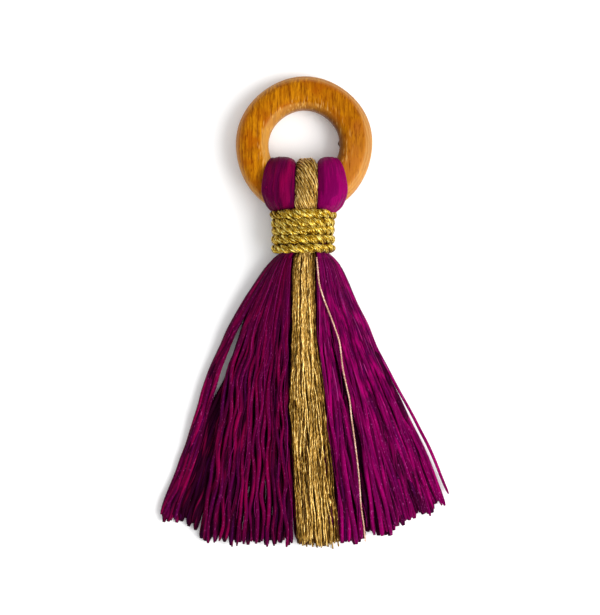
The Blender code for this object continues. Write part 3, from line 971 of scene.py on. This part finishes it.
def gold_hank():
    rng = np.random.default_rng(21)
    number = np.arange(GOLD_COUNT)
    reach = np.sqrt((number + 0.5) / GOLD_COUNT) * 1.04
    angle = number * math.pi * (3 - math.sqrt(5))
    sideways, outward = reach * np.cos(angle), reach * np.sin(angle)
    order = np.argsort(np.argsort(outward))
    layer = order * 3 // GOLD_COUNT
    fringe_share = np.empty(GOLD_COUNT)
    for level in range(3):
        members = np.flatnonzero(layer == level)
        rank = np.argsort(np.argsort(sideways[members]))
        fringe_share[members] = (rank + rng.uniform(0.15, 0.85, len(members))) / len(members)

    def loop(front):
        turn = math.pi * np.array((0.06, 0.16, 0.33, 0.52, 0.74, 0.92, 1.0))[None, :]
        turn = turn if front else math.tau - turn
        p = sideways[:, None] * np.cos(turn) - outward[:, None] * np.sin(turn)
        q = sideways[:, None] * np.sin(turn) + outward[:, None] * np.cos(turn)
        squarer = (np.hypot(p, q) / np.maximum(np.abs(p), np.abs(q))) ** 0.8
        p, q = p * squarer, q * squarer
        return loop_keys(GOLD, 0.5 + 0.5 * p, 0.5 + 0.5 * q, GOLD_RADIUS, front)

    share_neck = 0.5 + 0.5 * sideways
    depth_neck = 0.5 + 0.45 * outward
    t = np.linspace(0, 1, FRINGE_STATIONS)[None, :]
    spread = np.clip(t / 0.25, 0, 1)

    def fringe(depths, jitter, seed):
        waves = swaying(
            np.random.default_rng(seed), np.ones(GOLD_COUNT), (0.3, 0.15), (34.0, 14.0), (0.25, 0.2)
        )
        hem = np.clip(fringe_share + rng.normal(0, jitter, GOLD_COUNT), 0, 1)
        shares = share_neck[:, None] * (1 - spread) + spread * (
            fringe_share[:, None] * (1 - t) + hem[:, None] * t
        )
        depth = np.array(depths)[layer] + rng.uniform(-0.03, 0.03, GOLD_COUNT)
        tips = 116.9 + rng.normal(0, 0.9, GOLD_COUNT) - 1.2 * (2 * hem - 1) ** 2
        return fringe_keys(GOLD, shares, depth[:, None], tips, GOLD_RADIUS, waves)

    keys = folded(
        fringe((0.78, 0.9, 0.99), 0.05, 22), neck_keys(GOLD, share_neck, depth_neck), loop(True),
        loop(False), neck_keys(GOLD, share_neck, -depth_neck), fringe((0.3, 0.14, 0.02), 0.05, 23),
    )
    lines = through(placed(keys), [4] * (keys.shape[1] - 1))
    lines = crinkled(lines, rng, (0.10 * MM, 0.05 * MM), (6.5 * MM, 2.6 * MM))
    down = (RING_Y - lines[..., 1]) / MM
    own_tone = rng.random((GOLD_COUNT, 1))
    # Over the ring the threads get a higher tone, painted light that gives them more painted shine and
    # glint; in the fringe the tone is a little higher at the top and lower towards the hem.
    fringe_tone = own_tone + np.interp(down, (38, 60, 110), (0.02, 0.0, -0.06))
    tones = fringe_tone + (0.66 + 0.5 * own_tone - fringe_tone) * np.interp(down, (20, 24), (1.0, 0.0))
    piece = tubes("gold_hank", lines, GOLD_RADIUS * MM, GOLD_RADIUS * MM, 4, tones=tones, atlas_rows=3)
    piece.data.materials.append(metallic_thread_finish(
        "gold_hank_thread", paint(56, 28, 0), paint(184, 138, 48), paint(253, 222, 144),
        pitch=1.6 * MM, depth=0.1 * MM, flicker=2.9, own=1.1,
    ))
    return piece


gold = gold_hank()
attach(gold, "root")
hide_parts("hank_gold")


# ---------------------------------------------------------------------------------------------
# The binding.  One gold cord of three plies, each of many fine metallic threads, wound five times
# round the hanks below the ring and drawn tight.  It moves down behind, and its ends are tucked in.
# ---------------------------------------------------------------------------------------------
# Sizes in mm: each turn's place and half width, then the cord's own.
TURN_DOWNS = (20.3, 22.8, 25.1, 27.7, 30.4)
BINDING_ACROSS = (8.55, 8.15, 8.0, 8.1, 8.0)
BINDING_OFF = 6.95
BINDING_SHIFT = -0.3
CORD_PITCH = 8.4
PLY_OFF = 0.70
THREAD_OFF = 0.46
BINDING_THREAD = 0.27
BINDING_STEPS = 680


def binding_line():
    """The cord's middle, as x, down and height in mm."""
    first, last = -0.55 * math.pi, 9.55 * math.pi
    angle = np.linspace(first, last, 2400)
    round_number = np.clip(angle / math.tau, 0, 4.999)
    whole = np.floor(round_number).astype(int)
    behind = np.clip((round_number - whole) * 2 - 1, 0, 1)
    behind = behind * behind * (3 - 2 * behind)
    following = np.minimum(whole + 1, 4)
    down = np.array(TURN_DOWNS)[whole] * (1 - behind) + np.array(TURN_DOWNS)[following] * behind
    wide = np.array(BINDING_ACROSS)[whole] * (1 - behind) + np.array(BINDING_ACROSS)[following] * behind
    beyond = np.maximum(-angle, angle - 9 * math.pi)
    tuck = np.clip(beyond / (0.55 * math.pi), 0, 1)
    down = down + np.where(angle < 0, 2.2, -2.4) * tuck
    pull = 1 - 0.42 * tuck
    x = BINDING_SHIFT - wide * pull * np.cos(angle)
    lift = np.sin(angle)
    z = NECK_MIDDLE + BINDING_OFF * pull * lift
    return np.stack([x, down, np.maximum(z, 1.36)], axis=-1)


def binding():
    rng = np.random.default_rng(31)
    middle = evenly(placed(binding_line())[None], BINDING_STEPS)
    outward = middle[0, 0] - np.array((RING_X, middle[0, 0, 1], NECK_MIDDLE * MM))
    _, side, upper = axes_along(middle, outward)
    gone = travelled(middle) / MM
    wobble = 0.25 * np.sin(gone / 13.0) + 0.2 * np.sin(gone / 5.3 + 1.0)
    threads = []
    for ply in range(3):
        ply_turn = -gone / CORD_PITCH * math.tau + ply * math.tau / 3 + wobble
        for thread in range(6):
            own_turn = ply_turn - gone / 11.0 * math.tau + (thread + rng.uniform(-0.2, 0.2)) * math.tau / 6
            wave_length = rng.uniform(1.2, 2.6)
            wave_start = rng.uniform(0, math.tau)
            own_off = THREAD_OFF * (1 + 0.22 * np.sin(gone / wave_length + wave_start))
            right = PLY_OFF * np.cos(ply_turn) + own_off * np.cos(own_turn)
            out = PLY_OFF * np.sin(ply_turn) + own_off * np.sin(own_turn)
            threads.append(middle + (side * 1.08 * right[..., None] + upper * 0.9 * out[..., None]) * MM)
    lines = np.concatenate(threads)
    lines[..., 2] = np.maximum(lines[..., 2], BINDING_THREAD * MM)
    piece = tubes(
        "wound_gold_cord", lines, BINDING_THREAD * MM, BINDING_THREAD * MM, 5, atlas_rows=6, seed=33
    )
    piece.data.materials.append(metallic_thread_finish(
        "binding_gold", paint(80, 46, 0), paint(228, 180, 18), paint(255, 250, 158),
        pitch=1.3 * MM, depth=0.14 * MM, flicker=4.4, own=0.5, metal=0.7,
    ))
    return piece


wound_cord = binding()
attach(wound_cord, "root")
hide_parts("binding_cord")
